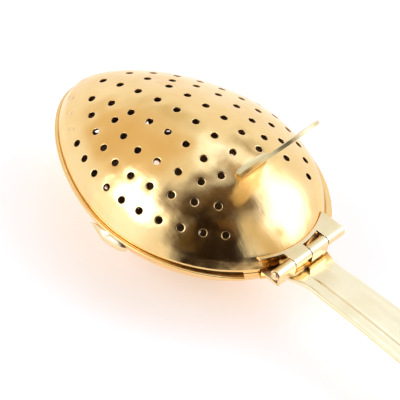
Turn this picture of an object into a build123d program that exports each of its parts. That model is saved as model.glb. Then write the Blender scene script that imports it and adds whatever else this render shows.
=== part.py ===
from build123d import *

import os

# Hinged tea infuser spoon: two perforated egg-shaped half shells on a flat pressed handle.
# Working frame while modelling, in millimetres: X runs from the spoon's tip (-X) to the handle's
# end (+X), Z is up, z = 0 is the top of the bowl's flange where the two halves meet, and x = 0 is
# the widest section. place() then lifts every piece, so that the origin is the middle of the
# small flat under the bowl that it rests on.

# ---- driving dimensions -------------------------------------------------------------------
SHEET = 0.5                 # thickness of the pressed shells
TIP_LENGTH = 27.0           # widest section to the tip, at the rim
HINGE_LENGTH = 23.0         # widest section to the hinge end, at the rim
HALF_WIDTH = 19.0           # half the width at the rim
SHELL_DEPTH = 11.5          # rim to crown of each half
TIP_FULLNESS = 0.445        # how square the outline is towards the tip (0.552 is an ellipse)
HINGE_END_FULLNESS = 0.53   # the same, towards the hinge
CROWN_FULLNESS = 0.44       # how flat the crown is
WALL_FULLNESS = 0.42        # how upright the wall is at the rim
LID_LIFT = 0.1              # gap between the flange and the lid's rim
BOWL_FLAT = 0.35            # how much the pressed flat takes off the bowl's depth

FLANGE_TIP_WIDTH = 0.35      # the flange widens from the tip towards the hinge
FLANGE_SIDE_WIDTH = 0.6
FLANGE_HINGE_WIDTH = 1.2
NOTCH_INNER = 7.85          # the flange is cut away between these distances from the centre line
NOTCH_OUTER = 9.9
NOTCH_START_X = 12.0        # inside the bowl, where nothing of the flange is left to cut
PUNCH_LENGTH = 3.0          # more than the sheet, less than the way to the next wall

HOLE_RADIUS = 0.62
# each egg-shaped row of holes, seen from above: tip x, widest section x, hinge-end x and half
# width of the egg that it follows, then the holes on each side of the tip hole and their pitch
EGG_ROWS = (
    (-25.4, -1.4, 19.2, 16.5, 13, 3.68),
    (-21.6, -3.2, 15.2, 13.3, 10, 3.88),
    (-18.1, -4.4, 13.5, 9.7, 7, 4.04),
)
FIRST_GAP = 4.9             # from a row's tip hole to its neighbours
# each straight row inside them: y, first x, number of holes and their pitch
STRAIGHT_ROWS = (
    (0.0, -14.3, 6, 4.1),
    (4.55, -11.7, 6, 3.93),
    (-4.55, -11.7, 6, 3.93),
)

HINGE_X = 24.0              # hinge axis
HINGE_Z = 1.8
KNUCKLE_RADIUS = 1.0
LEAF_THICKNESS = 0.45
LEAF_START_X = 12.0         # inside the shells, before the leaves are cut to them
KNUCKLE_PITCH = 3.925
KNUCKLE_GAP = 0.12          # between neighbouring knuckles
SEAM_WIDTH = 0.1            # open seam where a rolled knuckle comes back to its plate
LID_CLEARANCE = 0.3         # between the lid's rim and the bowl's leaf
STRIP_GROW = -0.3           # outer edge of the lid leaf's strip, measured from the rim outline
PIN_RADIUS = 0.5
PIN_END_GAP = 0.05
PIN_HEAD_RADIUS = 0.72
PIN_HEAD_LENGTH = 0.3

TAB_X = 10.0                # where the thumb tab's blade stands on the lid
TAB_OFFSET_Y = 0.9          # it is soldered a little off the centre line
TAB_TILT = 30.0             # degrees back from upright, towards the handle
TAB_THICKNESS = 0.6
TAB_FOOT_WIDTH = 7.0
TAB_WIDTH = 12.5
TAB_LENGTH = 17.0
TAB_FOOT_LENGTH = 0.9
TAB_FLARE_START = 0.25      # shares of the blade's length: where it starts to widen,
TAB_FLARE_END = 0.35        # where it is nearly at its full width,
TAB_WIDEST = 0.62           # where it is widest,
TAB_SHOULDER = 0.88         # and the height of the round top's shoulders
TAB_CROWN_FLATNESS = 0.55   # share of the half width over which the top is nearly flat
TAB_ROOT_Z = 9.6            # where the blade's middle line crosses the lid's surface
TAB_SUNK = 2.0              # how far the blade is drawn below that before it is cut to the lid

HANDLE_THICKNESS = 0.8
HANDLE_START_X = 18.0       # inside the bowl, before it is cut to the bowl's wall
HANDLE_ROOT_X = 24.2
HANDLE_TURN_X = 92.0        # from curving down to curving up
HANDLE_REST_X = 114.0       # lowest place, where it rests
HANDLE_END_X = 122.0
HANDLE_ROOT_Z = -0.56       # top of the handle under the flange
HANDLE_ROOT_RISE = 0.03     # how steeply it starts upwards
HANDLE_SIDE = (             # x and half width of the handle: a waist behind the hinge, then wider
    (18.0, 5.6),
    (24.2, 4.75),
    (26.7, 3.86),
    (32.0, 3.84),
    (42.0, 4.1),
    (60.0, 4.35),
    (90.0, 4.75),
    (116.0, 5.0),
)
PANEL_START_X = 26.5
PANEL_RISE = 0.16
PANEL_SHARE = 0.46          # the raised panel's share of the handle's width

CATCH_X = -1.3
CATCH_LENGTH = 8.2
CATCH_REACH = 0.75          # how far it stands out from the flange's edge
CATCH_DEPTH = 2.2
CATCH_INSET = 0.4           # how far its middle lies inside the flange's edge
CATCH_DROP = 0.1            # its top below the flange's top
DIMPLE_RADIUS = 0.45
DIMPLE_REACH = 0.5          # its middle outside the flange's edge

SOLDER_GAP = 0.04           # left between pieces joined by solder along a curved face

# ---- worked out from the above ------------------------------------------------------------
BOWL_BOTTOM = -(SHELL_DEPTH - BOWL_FLAT)
BARREL_TOP = HINGE_Z + KNUCKLE_RADIUS
LEAF_HALF_LENGTH = 2 * KNUCKLE_PITCH
TAB_NORMAL = Vector(1, 0, 0).rotate(Axis.Y, TAB_TILT)
BEYOND = 100.0              # larger than anything that is cut


def place(piece):
    """Moves a piece from the working frame to the object's own frame."""
    return piece.moved(Location((0, 0, -BOWL_BOTTOM)))


# ---- the egg outline and the dome over it -------------------------------------------------
def egg_quarter(length, half_width, fullness):
    """Control points of a quarter outline, from the widest section to the end on the X axis."""
    return [
        (0, half_width),
        (fullness * length, half_width),
        (length, fullness * half_width),
        (length, 0),
    ]


def outline_face(tip_length, hinge_length, half_width):
    """A flat egg-shaped face."""
    edges = []
    for length, fullness, way in (
        (tip_length, TIP_FULLNESS, -1),
        (hinge_length, HINGE_END_FULLNESS, 1),
    ):
        for side in (1, -1):
            quarter = egg_quarter(length, half_width, fullness)
            edges.append(Bezier(*[(way * x, side * y) for x, y in quarter]))
    return make_face(Wire(edges))


def egg_face(grow=0.0):
    """The whole rim outline, grown outwards, as a flat face."""
    return outline_face(TIP_LENGTH + grow, HINGE_LENGTH + grow, HALF_WIDTH + grow)


def flange_face(grow=0.0):
    """The flange's outer outline, filled and grown outwards, as a flat face."""
    return outline_face(
        TIP_LENGTH + FLANGE_TIP_WIDTH + grow,
        HINGE_LENGTH + FLANGE_HINGE_WIDTH + grow,
        HALF_WIDTH + FLANGE_SIDE_WIDTH + grow,
    )


def dome_patches(grow=0.0):
    """The four curved faces over the egg outline, grown outwards, with their foot at z = 0.

    Each quarter is one Bezier patch: every level section is the outline scaled down.
    """
    depth = SHELL_DEPTH + grow
    half_width = HALF_WIDTH + grow
    profile = [(0, 1), (CROWN_FULLNESS, 1), (1, WALL_FULLNESS), (1, 0)]
    patches = []
    for length, fullness, way in (
        (TIP_LENGTH + grow, TIP_FULLNESS, -1),
        (HINGE_LENGTH + grow, HINGE_END_FULLNESS, 1),
    ):
        for side in (1, -1):
            quarter = egg_quarter(length, half_width, fullness)
            grid = [
                [(way * x * scale, side * y * scale, depth * height) for x, y in quarter]
                for scale, height in profile
            ]
            patches.append(Face.make_bezier_surface(grid))
    return patches


def dome(grow=0.0):
    """The solid under the dome."""
    solid = Solid(Shell([egg_face(grow), *dome_patches(grow)]))
    return solid if solid.volume > 0 else -solid


def dome_below(height, grow=0.0):
    """The dome with its crown cut off flat at a height."""
    keep = Box(BEYOND, BEYOND, height, align=(Align.CENTER, Align.CENTER, Align.MIN))
    return dome(grow) & keep


def upside_down(shape):
    return mirror(shape, about=Plane.XY)


# ---- the punched holes --------------------------------------------------------------------
def egg_row(tip_x, widest_x, end_x, half_width, count, pitch):
    """Plan places of one egg-shaped row: the tip hole, then both sides towards the hinge."""
    tip_part = egg_quarter(widest_x - tip_x, half_width, TIP_FULLNESS)
    end_part = egg_quarter(end_x - widest_x, half_width, HINGE_END_FULLNESS)
    path = Wire([
        Bezier(*[(widest_x - x, y) for x, y in reversed(tip_part)]),
        Bezier(*[(widest_x + x, y) for x, y in end_part]),
    ])
    places = [(tip_x, 0)]
    for number in range(count):
        distance = FIRST_GAP + number * pitch
        point = path.position_at(distance, position_mode=PositionMode.LENGTH)
        places += [(point.X, point.Y), (point.X, -point.Y)]
    return places


def hole_places():
    places = []
    for row in EGG_ROWS:
        places += egg_row(*row)
    for y, first_x, count, pitch in STRAIGHT_ROWS:
        places += [(first_x + number * pitch, y) for number in range(count)]
    return places


def hole_punches():
    """One short cylinder through the sheet at each place, square to the surface there."""
    patches = Shell(dome_patches())
    punches = []
    for x, y in hole_places():
        point, normal = patches.find_intersection_points(Axis((x, y, -1), (0, 0, 1)))[0]
        punches.append(Plane(origin=point, z_dir=normal) * Cylinder(HOLE_RADIUS, PUNCH_LENGTH))
    return punches


def perforated_shell(flat=0.0):
    """One half as a pressed sheet with its crown upwards; flat is taken off the crown."""
    outer = dome_below(SHELL_DEPTH - flat) if flat else dome()
    inner = dome_below(SHELL_DEPTH - flat - SHEET, -SHEET) if flat else dome(-SHEET)
    return outer - inner - hole_punches()


# ---- the two halves -----------------------------------------------------------------------
def flange():
    """Outward flange, cut away on both sides of the hinge's leaf."""
    ring = extrude(flange_face(), amount=-SHEET) - extrude(egg_face(-SHEET / 2), amount=-SHEET)
    notch_width = NOTCH_OUTER - NOTCH_INNER
    for side in (1, -1):
        notch = Pos(NOTCH_START_X, side * (NOTCH_INNER + notch_width / 2), 0) * Box(
            BEYOND, notch_width, 4 * SHEET, align=(Align.MIN, Align.CENTER, Align.CENTER)
        )
        ring -= notch - extrude(egg_face(), amount=-SHEET)
    return ring


def make_bowl():
    shell = upside_down(perforated_shell(BOWL_FLAT))
    return shell + flange() - upside_down(dome_below(SHELL_DEPTH - BOWL_FLAT - SHEET, -SHEET))


def make_lid():
    return Pos(0, 0, LID_LIFT) * perforated_shell()


# ---- hinge --------------------------------------------------------------------------------
def along_y(face, y_low, y_high):
    """Extrudes a face drawn in X and Z between two places along the hinge axis."""
    return Pos(0, y_low, 0) * extrude(face, amount=y_high - y_low, dir=(0, 1, 0))


def in_xz(*points):
    """Flat face through points given as x, z."""
    return make_face(Polyline(*[(x, 0, z) for x, z in points], close=True))


def knuckle_span(number):
    """Ends along the axis of knuckle 0 to 3, counted from the -Y end."""
    low = (number - 2) * KNUCKLE_PITCH
    return low + KNUCKLE_GAP / 2, low + KNUCKLE_PITCH - KNUCKLE_GAP / 2


def hinge_rod(radius, y_low, y_high):
    rod = Rot(90, 0, 0) * Cylinder(radius, y_high - y_low)
    return Pos(HINGE_X, (y_low + y_high) / 2, HINGE_Z) * rod


def knuckle(number):
    """The ring of sheet round the pin."""
    low, high = knuckle_span(number)
    return hinge_rod(KNUCKLE_RADIUS, low, high) - hinge_rod(KNUCKLE_RADIUS - LEAF_THICKNESS, low, high)


def make_bowl_hinge_leaf():
    """Plate on the flange that passes under the barrel and turns up into knuckles 0 and 2."""
    leaf_end = HINGE_X + KNUCKLE_RADIUS
    plate = in_xz(
        (LEAF_START_X, 0),
        (leaf_end, 0),
        (leaf_end, LEAF_THICKNESS),
        (LEAF_START_X, LEAF_THICKNESS),
    )
    leaf = along_y(plate, -LEAF_HALF_LENGTH + KNUCKLE_GAP / 2, LEAF_HALF_LENGTH - KNUCKLE_GAP / 2)
    leaf -= extrude(egg_face(LID_CLEARANCE), amount=2 * LEAF_THICKNESS)
    riser = in_xz(
        (leaf_end - LEAF_THICKNESS, 0),
        (leaf_end, 0),
        (leaf_end, HINGE_Z),
        (leaf_end - LEAF_THICKNESS, HINGE_Z),
    )
    for number in (0, 2):
        leaf += along_y(riser, *knuckle_span(number)) + knuckle(number)
    seam = Box(SEAM_WIDTH, BEYOND, KNUCKLE_RADIUS)
    return leaf - Pos(leaf_end - LEAF_THICKNESS - SEAM_WIDTH / 2, 0, HINGE_Z - KNUCKLE_RADIUS / 2) * seam


def make_lid_hinge_leaf():
    """Plate on the lid's wall, level with the top of the barrel; knuckles 1 and 3."""
    plate_z = BARREL_TOP - LEAF_THICKNESS
    section = in_xz(
        (LEAF_START_X, plate_z),
        (HINGE_X, plate_z),
        (HINGE_X, BARREL_TOP),
        (LEAF_START_X, BARREL_TOP),
    )
    leaf = along_y(section, -LEAF_HALF_LENGTH, knuckle_span(3)[1])
    strip = Pos(0, 0, plate_z) * extrude(egg_face(STRIP_GROW), amount=LEAF_THICKNESS)
    for number in (0, 2):
        low = (number - 2) * KNUCKLE_PITCH - KNUCKLE_GAP / 2
        window = along_y(section, low, low + KNUCKLE_PITCH + KNUCKLE_GAP)
        leaf -= window - strip
    leaf += knuckle(1) + knuckle(3)
    seam = Box(KNUCKLE_RADIUS, BEYOND, SEAM_WIDTH)
    leaf -= Pos(HINGE_X - KNUCKLE_RADIUS / 2, 0, plate_z - SEAM_WIDTH / 2) * seam
    return leaf - Pos(0, 0, LID_LIFT) * dome(SOLDER_GAP)


def make_hinge_pin():
    end = LEAF_HALF_LENGTH + PIN_END_GAP
    pin = hinge_rod(PIN_RADIUS, -end, end)
    for side in (1, -1):
        near, far = sorted((side * end, side * (end + PIN_HEAD_LENGTH)))
        pin += hinge_rod(PIN_HEAD_RADIUS, near, far)
    return pin


# ---- thumb tab ----------------------------------------------------------------------------
def tab_blade():
    """Spade-shaped blade, flared above its foot and rounded at the top."""
    foot = TAB_FOOT_WIDTH / 2
    wide = TAB_WIDTH / 2
    top = TAB_LENGTH
    edges = [Line((-foot, -TAB_SUNK), (foot, -TAB_SUNK))]
    for way in (1, -1):
        flare = [
            (foot, -TAB_SUNK),
            (foot, TAB_FLARE_START * top),
            (wide, TAB_FLARE_END * top),
            (wide, TAB_WIDEST * top),
        ]
        crown = [
            (wide, TAB_WIDEST * top),
            (wide, TAB_SHOULDER * top),
            (TAB_CROWN_FLATNESS * wide, top),
            (0, top),
        ]
        edges += [Bezier(*[(way * x, y) for x, y in points]) for points in (flare, crown)]
    outline = make_face(Wire(edges))
    blade = extrude(outline, amount=TAB_THICKNESS / 2, both=True)
    stand = Plane(origin=(TAB_X, TAB_OFFSET_Y, TAB_ROOT_Z), x_dir=(0, 1, 0), z_dir=TAB_NORMAL)
    return stand * blade


def make_thumb_tab():
    """The blade, and a foot bent towards the tip that lies on the lid."""
    foot_box = Pos(TAB_X - TAB_FOOT_LENGTH / 2, TAB_OFFSET_Y, SHELL_DEPTH) * Box(
        TAB_FOOT_LENGTH, TAB_FOOT_WIDTH, 2 * SHELL_DEPTH
    )
    foot = (dome(SOLDER_GAP + TAB_THICKNESS) - dome(SOLDER_GAP)) & foot_box
    tab = tab_blade() - dome(SOLDER_GAP) + foot
    return Pos(0, 0, LID_LIFT) * tab


# ---- handle -------------------------------------------------------------------------------
def handle_line(rise):
    """Side view of the handle's top, moved up by rise: curves down, then levels out to rest."""
    rest_z = BOWL_BOTTOM + HANDLE_THICKNESS
    first_run = HANDLE_TURN_X - HANDLE_ROOT_X
    second_run = HANDLE_REST_X - HANDLE_TURN_X
    drop = HANDLE_ROOT_Z - rest_z
    steepest = (2 * drop + HANDLE_ROOT_RISE * first_run) / (first_run + second_run)
    turn_z = rest_z + steepest * second_run / 2
    end_rise = steepest * (HANDLE_END_X - HANDLE_REST_X) ** 2 / (2 * second_run)
    start_z = HANDLE_ROOT_Z - HANDLE_ROOT_RISE * (HANDLE_ROOT_X - HANDLE_START_X)
    start = (HANDLE_START_X, 0, start_z + rise)
    root = (HANDLE_ROOT_X, 0, HANDLE_ROOT_Z + rise)
    turn = (HANDLE_TURN_X, 0, turn_z + rise)
    end = (HANDLE_END_X, 0, rest_z + end_rise + rise)
    return [
        Line(start, root),
        TangentArc(root, turn, tangent=(1, 0, HANDLE_ROOT_RISE)),
        TangentArc(turn, end, tangent=(1, 0, -steepest)),
    ]


def handle_ribbon(low, high):
    """The handle's side view between two heights over its top, wider than the handle."""
    lower = handle_line(low)
    upper = handle_line(high)
    ends = [Line(lower[0] @ 0, upper[0] @ 0), Line(lower[-1] @ 1, upper[-1] @ 1)]
    section = make_face(Wire([*lower, *upper, *ends]))
    return Pos(0, -BEYOND / 2, 0) * extrude(section, amount=BEYOND, dir=(0, 1, 0))


def handle_plan(share):
    """Outline from above of the handle, or of a middle share of its width, as a tall block."""
    right = [(x, share * y, -BEYOND / 2) for x, y in HANDLE_SIDE]
    left = [(x, -share * y, -BEYOND / 2) for x, y in HANDLE_SIDE]
    end_half_width = HANDLE_SIDE[-1][1]
    tip = (HANDLE_END_X - (1 - share) * end_half_width, 0, -BEYOND / 2)
    outline = Wire([
        Spline(*right),
        Spline(*left),
        Line(right[0], left[0]),
        ThreePointArc(right[-1], tip, left[-1]),
    ])
    return extrude(make_face(outline), amount=BEYOND, dir=(0, 0, 1))


def make_handle():
    """The strip under the flange, with a raised panel along its middle."""
    strip = handle_ribbon(-HANDLE_THICKNESS, 0) & handle_plan(1)
    panel = handle_ribbon(-HANDLE_THICKNESS / 2, PANEL_RISE) & handle_plan(PANEL_SHARE)
    panel -= Pos(PANEL_START_X, 0, 0) * Box(
        BEYOND, BEYOND, BEYOND, align=(Align.MAX, Align.CENTER, Align.CENTER)
    )
    return strip + panel - upside_down(dome(SOLDER_GAP))


# ---- side catch ---------------------------------------------------------------------------
def make_side_catch():
    """Rounded ear under the flange's edge on the -Y side, with a pressed dimple."""
    edge_y = -(HALF_WIDTH + FLANGE_SIDE_WIDTH)
    middle = Pos(CATCH_X, edge_y + CATCH_INSET, -CATCH_DEPTH / 2 - CATCH_DROP)
    ear = scale(Sphere(1), by=(CATCH_LENGTH / 2, CATCH_REACH + CATCH_INSET, CATCH_DEPTH / 2))
    dimple = Pos(CATCH_X, edge_y - DIMPLE_REACH, -DIMPLE_RADIUS / 2) * Sphere(DIMPLE_RADIUS)
    ear = middle * ear - dimple
    ear -= extrude(flange_face(SOLDER_GAP), amount=-(SHEET + SOLDER_GAP))
    return ear - upside_down(dome(SOLDER_GAP))


# ---- write every piece --------------------------------------------------------------------
PIECES = {
    "bowl": make_bowl,
    "lid": make_lid,
    "bowl_hinge_leaf": make_bowl_hinge_leaf,
    "lid_hinge_leaf": make_lid_hinge_leaf,
    "hinge_pin": make_hinge_pin,
    "thumb_tab": make_thumb_tab,
    "handle": make_handle,
    "side_catch": make_side_catch,
}

os.makedirs("parts", exist_ok=True)
for name, make in PIECES.items():
    export_step(place(make()), f"parts/{name}.step")
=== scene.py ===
import math

import bmesh
import bpy
import numpy as np
from mathutils import Matrix, Vector, noise
from mathutils.geometry import delaunay_2d_cdt


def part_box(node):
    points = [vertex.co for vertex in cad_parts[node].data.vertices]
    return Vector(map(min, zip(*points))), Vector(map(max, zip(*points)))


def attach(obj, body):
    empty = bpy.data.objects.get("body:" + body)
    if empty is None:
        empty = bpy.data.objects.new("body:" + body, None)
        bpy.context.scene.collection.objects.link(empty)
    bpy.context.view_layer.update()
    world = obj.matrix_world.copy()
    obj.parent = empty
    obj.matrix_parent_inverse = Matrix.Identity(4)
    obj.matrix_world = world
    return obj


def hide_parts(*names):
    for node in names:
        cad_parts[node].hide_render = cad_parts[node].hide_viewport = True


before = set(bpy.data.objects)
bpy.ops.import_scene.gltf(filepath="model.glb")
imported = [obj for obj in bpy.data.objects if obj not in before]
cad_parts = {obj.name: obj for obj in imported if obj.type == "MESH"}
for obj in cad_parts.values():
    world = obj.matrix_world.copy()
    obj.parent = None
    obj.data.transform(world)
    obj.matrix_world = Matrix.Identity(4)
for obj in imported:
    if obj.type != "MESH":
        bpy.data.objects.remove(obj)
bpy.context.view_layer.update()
scene = bpy.context.scene

# Shapes are worked out in millimetres in the hinge's working frame: X towards the handle's end,
# x = 0 at the widest section, z = 0 at the top of the bowl's flange. row_frame() turns them into
# metres in the row frame.
MM = 0.001
FLANGE_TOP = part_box("bowl")[1].z

# ---- the dimensions that the CAD part has, repeated ------------------------------------------
SHEET = 0.5
TIP_LENGTH = 27.0
HINGE_LENGTH = 23.0
HALF_WIDTH = 19.0
SHELL_DEPTH = 11.5
TIP_FULLNESS = 0.445
HINGE_END_FULLNESS = 0.53
CROWN_FULLNESS = 0.44
WALL_FULLNESS = 0.42
LID_LIFT = 0.1
BOWL_FLAT = 0.35

FLANGE_TIP_WIDTH = 0.35
FLANGE_SIDE_WIDTH = 0.6
FLANGE_HINGE_WIDTH = 1.2
NOTCH_INNER = 7.85
NOTCH_OUTER = 9.9

HOLE_RADIUS = 0.62
# each egg-shaped row of holes: tip x, widest section x, hinge-end x and half width of the egg that
# it follows, then the holes on each side of the tip hole and their pitch
EGG_ROWS = (
    (-25.4, -1.4, 19.2, 16.5, 13, 3.68),
    (-21.6, -3.2, 15.2, 13.3, 10, 3.88),
    (-18.1, -4.4, 13.5, 9.7, 7, 4.04),
)
FIRST_GAP = 4.9
# each straight row: y, first x, number of holes and their pitch
STRAIGHT_ROWS = (
    (0.0, -14.3, 6, 4.1),
    (4.55, -11.7, 6, 3.93),
    (-4.55, -11.7, 6, 3.93),
)

HINGE_X = 24.0
HINGE_Z = 1.8
KNUCKLE_RADIUS = 1.0
LEAF_THICKNESS = 0.45
KNUCKLE_PITCH = 3.925
KNUCKLE_GAP = 0.12
STRIP_GROW = -0.3
PIN_RADIUS = 0.5
PIN_END_GAP = 0.05
PIN_HEAD_RADIUS = 0.72
PIN_HEAD_LENGTH = 0.3

TAB_X = 10.0
TAB_OFFSET_Y = 0.9
TAB_TILT = 30.0
TAB_THICKNESS = 0.6
TAB_FOOT_WIDTH = 7.0
TAB_WIDTH = 12.5
TAB_LENGTH = 17.0
TAB_ROOT_Z = 9.6
TAB_SUNK = 2.0
TAB_FLARE_START = 0.25
TAB_FLARE_END = 0.35
TAB_WIDEST = 0.62
TAB_SHOULDER = 0.88
TAB_CROWN_FLATNESS = 0.55

HANDLE_THICKNESS = 0.8
HANDLE_ROOT_X = 24.2
HANDLE_TURN_X = 92.0
HANDLE_REST_X = 114.0
HANDLE_END_X = 122.0
HANDLE_ROOT_Z = -0.56
HANDLE_ROOT_RISE = 0.03
# x and half width of the handle
HANDLE_SIDE = (
    (18.0, 5.6),
    (24.2, 4.75),
    (26.7, 3.86),
    (32.0, 3.84),
    (42.0, 4.1),
    (60.0, 4.35),
    (90.0, 4.75),
    (116.0, 5.0),
)
PANEL_START_X = 26.5
PANEL_RISE = 0.16
BOWL_BOTTOM = -(SHELL_DEPTH - BOWL_FLAT)

CATCH_X = -1.3
CATCH_LENGTH = 8.2
CATCH_REACH = 0.75
CATCH_DEPTH = 2.2
CATCH_INSET = 0.4
CATCH_DROP = 0.1

# ---- finer shape that only the visual model has ----------------------------------------------
COLUMNS = 300               # points round the rim
NOTCH_PAIR = 0.0006         # half the angle between the two columns at a corner of a notch
NOTCH_ROOM = 0.008          # no other column is nearer to such a corner
MESH_STEP = 0.7             # between neighbouring points of a shell
FILLER_REACH = 40           # more than the way along the sheet from its crown to its rim
RIM_ROWS = (0.3, 0.6, 0.9)  # even rows of points inside a shell's lower edge
HOLE_POINTS = 20            # points round a hole
HOLE_EDGE = 0.07            # rounding of a hole's punched edge
HOLE_RINGS = (HOLE_EDGE, 0.24, 0.5)     # even rings of points round a hole
# rings of points down a hole: distance beyond its radius, and depth below the outside
HOLE_WALL = (
    (0.25 * HOLE_EDGE, 0.3 * HOLE_EDGE),
    (0.0, HOLE_EDGE),
    (0.0, SHEET - HOLE_EDGE),
)
DISH_DEPTH = 0.045          # the sheet is drawn down a little round each hole
DISH_REACH = 0.75
DENT_DEPTH = 0.05           # slow unevenness of the pressed sheet
DENT_SIZE = 9.0
SMOOTH_RISE = 3.0           # dishes and dents fade in over this height above the skirt
SKIRT_TOP = 2.4             # the lid's straight skirt ends in a slight crease at this height
RIM_ROUNDING = 0.14         # height of the rounding at the skirt's lower edge
BOWL_CUT = 1.1              # the bowl's sheet ends this far from its rim, and plain rings follow

ROLL_STEPS = 26             # faces round a knuckle
KNUCKLE_STEPS = 6           # faces along a knuckle
LEAF_EDGE = 0.06            # rounding of the leaves' edges
PLATE_START = 0.35          # from the rim outline to the bowl leaf's plate
STRIP_WIDTH = 0.35          # least width of the strip that joins the lid leaf's plates
SHADE_END = 0.8             # the plate's painted shade stops this far from its ends
PIN_SIDES = 28

TAB_COLUMNS = 25
TAB_FOOT_ROWS = (-0.85, -0.6, -0.35)    # x of the foot's rows of points, from the blade's root
TAB_ROWS = (                # shares of the blade's length, closer together at the round top
    0.0, 0.06, 0.12, 0.2, 0.3, 0.4, 0.5, 0.6, 0.68, 0.76, 0.83, 0.89, 0.94, 0.97, 0.99, 0.9995
)
TAB_FOOT_CORNER = 0.3       # how much narrower the foot's first row is
TAB_BEND = 0.35             # the blade starts this far along, after the bend
TAB_END_ROOM = 0.02         # and stops this short of its full length
TAB_BOW = 0.12              # how far the blade bows towards the tip
TAB_SETTLE = 0.3            # share of the blade over which the foot's curve fades out
TAB_STAND_OFF = 0.05        # between the foot and the lid
TAB_EDGE = 0.22             # rounding of the blade's edges

HANDLE_ROOT_STATIONS = (22.0, 22.7, 23.4)   # x of the sections under the flange
HANDLE_STRAIGHT_START = 24.0
HANDLE_STRAIGHT_STATIONS = 90
HANDLE_ROUND_STATIONS = 18
HANDLE_ROUND_ANGLES = (4, 88.5)         # degrees round the end, stopping just short of its tip
PANEL_FADE = 2.5            # length over which the panel rises from the strip

CATCH_ROWS = 34
CATCH_COLUMNS = 40
CATCH_SHORT = 0.005         # how far the visual ear stays inside the CAD ear's reach
CATCH_CREST = 0.1           # where the ear stands out most, as a share of its half length
CATCH_SQUARENESS = 0.75     # under 1 makes the ear's section squarer than an ellipse
CATCH_BACK = 0.25           # how deep the ear's back is, as a share of its front
CATCH_THINNEST = 0.02       # its size at its two ends, as a share
DIMPLE_HALF_LENGTH = 0.11   # as a share of the ear's half length
DIMPLE_PLACE = 0.75         # from the ear's inner edge outwards
DIMPLE_HALF_WIDTH = 0.3
DIMPLE_DEPTH = 0.4


# ---- materials -------------------------------------------------------------------------------
def add_node(tree, kind, **values):
    """Adds a node and sets its properties and input values, by name."""
    node = tree.nodes.new(kind)
    for name, value in values.items():
        if name in node.inputs:
            node.inputs[name].default_value = value
        else:
            setattr(node, name, value)
    return node


def gold(name, pale, deep, roughness, unevenness, scratches):
    """Plated metal: colour drifting between two golds, soft unevenness, polishing scratches."""
    material = bpy.data.materials.new(name)
    material.use_nodes = True
    tree = material.node_tree
    shader = tree.nodes["Principled BSDF"]
    shader.inputs["Metallic"].default_value = 1.0
    place = add_node(tree, "ShaderNodeTexCoord")

    drift = add_node(tree, "ShaderNodeTexNoise", Scale=110.0, Detail=4.0)
    tree.links.new(place.outputs["Object"], drift.inputs["Vector"])
    tint = add_node(tree, "ShaderNodeValToRGB")
    tint.color_ramp.elements[0].position = 0.35
    tint.color_ramp.elements[0].color = (*deep, 1)
    tint.color_ramp.elements[1].position = 0.62
    tint.color_ramp.elements[1].color = (*pale, 1)
    tree.links.new(drift.outputs["Fac"], tint.inputs["Fac"])
    tree.links.new(tint.outputs["Color"], shader.inputs["Base Color"])

    smears = add_node(tree, "ShaderNodeTexNoise", Scale=420.0, Detail=6.0, Roughness=0.65)
    tree.links.new(place.outputs["Object"], smears.inputs["Vector"])
    polish = add_node(tree, "ShaderNodeMapRange")
    polish.inputs["From Min"].default_value = 0.3
    polish.inputs["From Max"].default_value = 0.75
    polish.inputs["To Min"].default_value = roughness * 0.7
    polish.inputs["To Max"].default_value = roughness * 1.5
    tree.links.new(smears.outputs["Fac"], polish.inputs["Value"])
    tree.links.new(polish.outputs["Result"], shader.inputs["Roughness"])

    waves = add_node(tree, "ShaderNodeTexNoise", Scale=230.0, Detail=1.5)
    tree.links.new(place.outputs["Object"], waves.inputs["Vector"])
    uneven = add_node(tree, "ShaderNodeBump", Strength=unevenness, Distance=0.0004)
    tree.links.new(waves.outputs["Fac"], uneven.inputs["Height"])

    stretch = add_node(tree, "ShaderNodeMapping")
    stretch.inputs["Rotation"].default_value = (0.3, 0.2, 0.7)
    stretch.inputs["Scale"].default_value = (220.0, 2600.0, 900.0)
    tree.links.new(place.outputs["Object"], stretch.inputs["Vector"])
    lines = add_node(tree, "ShaderNodeTexNoise", Scale=1.0, Detail=3.0)
    tree.links.new(stretch.outputs["Vector"], lines.inputs["Vector"])
    scratch = add_node(tree, "ShaderNodeBump", Strength=scratches, Distance=0.00003)
    tree.links.new(lines.outputs["Fac"], scratch.inputs["Height"])
    tree.links.new(uneven.outputs["Normal"], scratch.inputs["Normal"])
    tree.links.new(scratch.outputs["Normal"], shader.inputs["Normal"])
    return material


SHELL_GOLD = gold("shell_gold", (1.0, 0.65, 0.26), (0.94, 0.575, 0.20), 0.15, 0.3, 0.3)
# darker gold on the shells' inner faces and the holes' walls: painted shade inside the shells and
# holes
SHADED_INSIDE_GOLD = gold("painted_shade_inside_gold", (0.42, 0.24, 0.10), (0.26, 0.14, 0.055), 0.38, 0.3, 0.3)
# near-black gold on the bowl leaf's low faces in the gap under the lid's leaf: painted shade
SHADED_GAP_GOLD = gold("painted_shade_gap_gold", (0.15, 0.08, 0.03), (0.05, 0.022, 0.008), 0.45, 0.3, 0.3)
HINGE_GOLD = gold("hinge_gold", (0.95, 0.74, 0.42), (0.88, 0.66, 0.33), 0.26, 0.25, 0.4)
TAB_GOLD = gold("tab_gold", (0.80, 0.62, 0.30), (0.70, 0.52, 0.22), 0.38, 0.2, 0.5)
HANDLE_GOLD = gold("handle_gold", (1.0, 0.80, 0.48), (0.96, 0.75, 0.42), 0.2, 0.2, 0.6)


# ---- making pieces ---------------------------------------------------------------------------
def row_frame(points):
    """Points of the working frame, in metres in the row frame."""
    return [(x * MM, y * MM, z * MM + FLANGE_TOP) for x, y, z in points]


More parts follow.
